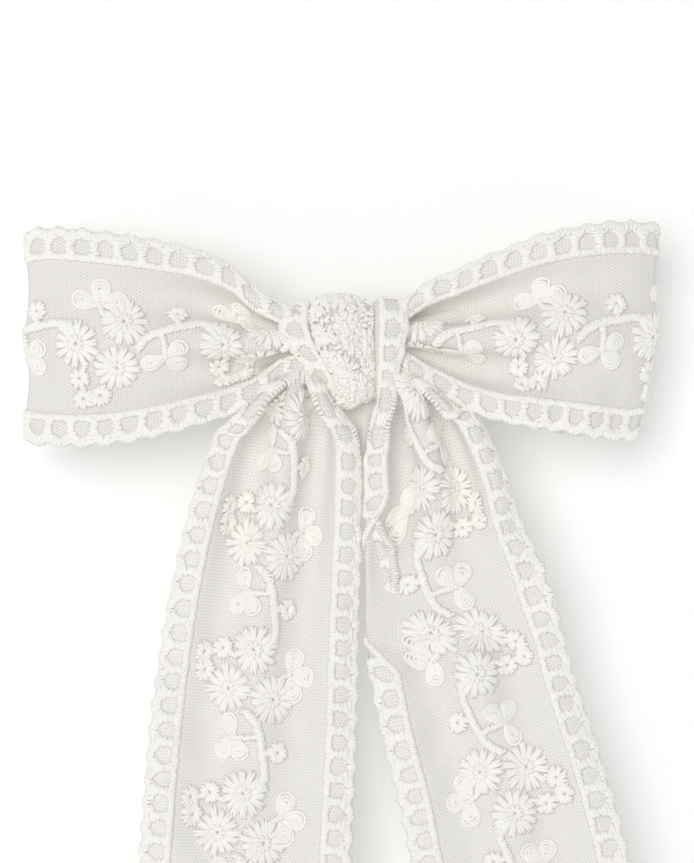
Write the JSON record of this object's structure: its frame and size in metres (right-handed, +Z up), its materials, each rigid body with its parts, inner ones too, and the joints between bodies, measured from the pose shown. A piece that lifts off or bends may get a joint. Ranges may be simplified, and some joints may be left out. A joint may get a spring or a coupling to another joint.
{
  "type": "hair bow",
  "caption": "Lace ribbon hair bow with two loops, a wrapped knot and long hanging tails on a sprung alligator clip.",
  "frame": {"origin": "middle of the clip's grip between its two jaws, straight behind the middle of the knot", "axes": "+X across the bow, +Y back towards the hair, +Z up, as the bow is worn"},
  "size_m": [0.15, 0.0269, 0.2349],
  "materials": {
    "lace_cloth": "soft matt net with satin embroidery",
    "thread": "soft satin thread",
    "felt": "matt felt",
    "grosgrain": "ribbed ribbon",
    "clip_steel": "bright plated",
    "pin_steel": "polished",
    "spring_wire": "spring wire",
    "grip_rubber": "matt"
  },
  "bodies": {
    "bow": {"left_loop": "lace_cloth", "right_loop": "lace_cloth", "knot_wrap": "lace_cloth", "tail_gather": "lace_cloth", "gathering_thread": "thread", "wrap_stitches": "thread", "backing_pad": "felt", "clip_liner": "grosgrain", "front_jaw": "clip_steel", "grip_strip": "grip_rubber", "hinge_pin": "pin_steel", "torsion_spring": "spring_wire"},
    "back_jaw": {"back_jaw": "clip_steel"},
    "left_tail": {"left_tail": "lace_cloth", "left_hem": "thread"},
    "right_tail": {"right_tail": "lace_cloth", "right_hem": "thread"}
  },
  "joints": [
    {"name": "jaw_hinge", "type": "hinge", "parent": "bow", "child": "back_jaw", "pos_m": [0.009, 0.0006, 0], "axis": [0, 0, -1], "range_deg": [0, 17], "stiffness_Nm_per_rad": 0.15, "springref_deg": -34.38, "deforming": ["torsion_spring"]},
    {"name": "left_tail_swing", "type": "hinge", "parent": "bow", "child": "left_tail", "pos_m": [-0.0155, -0.0135, -0.0144], "axis": [-1, 0, 0], "range_deg": [-5, 65]},
    {"name": "right_tail_swing", "type": "hinge", "parent": "bow", "child": "right_tail", "pos_m": [0.0155, -0.0135, -0.0144], "axis": [-1, 0, 0], "range_deg": [-5, 65]}
  ]
}
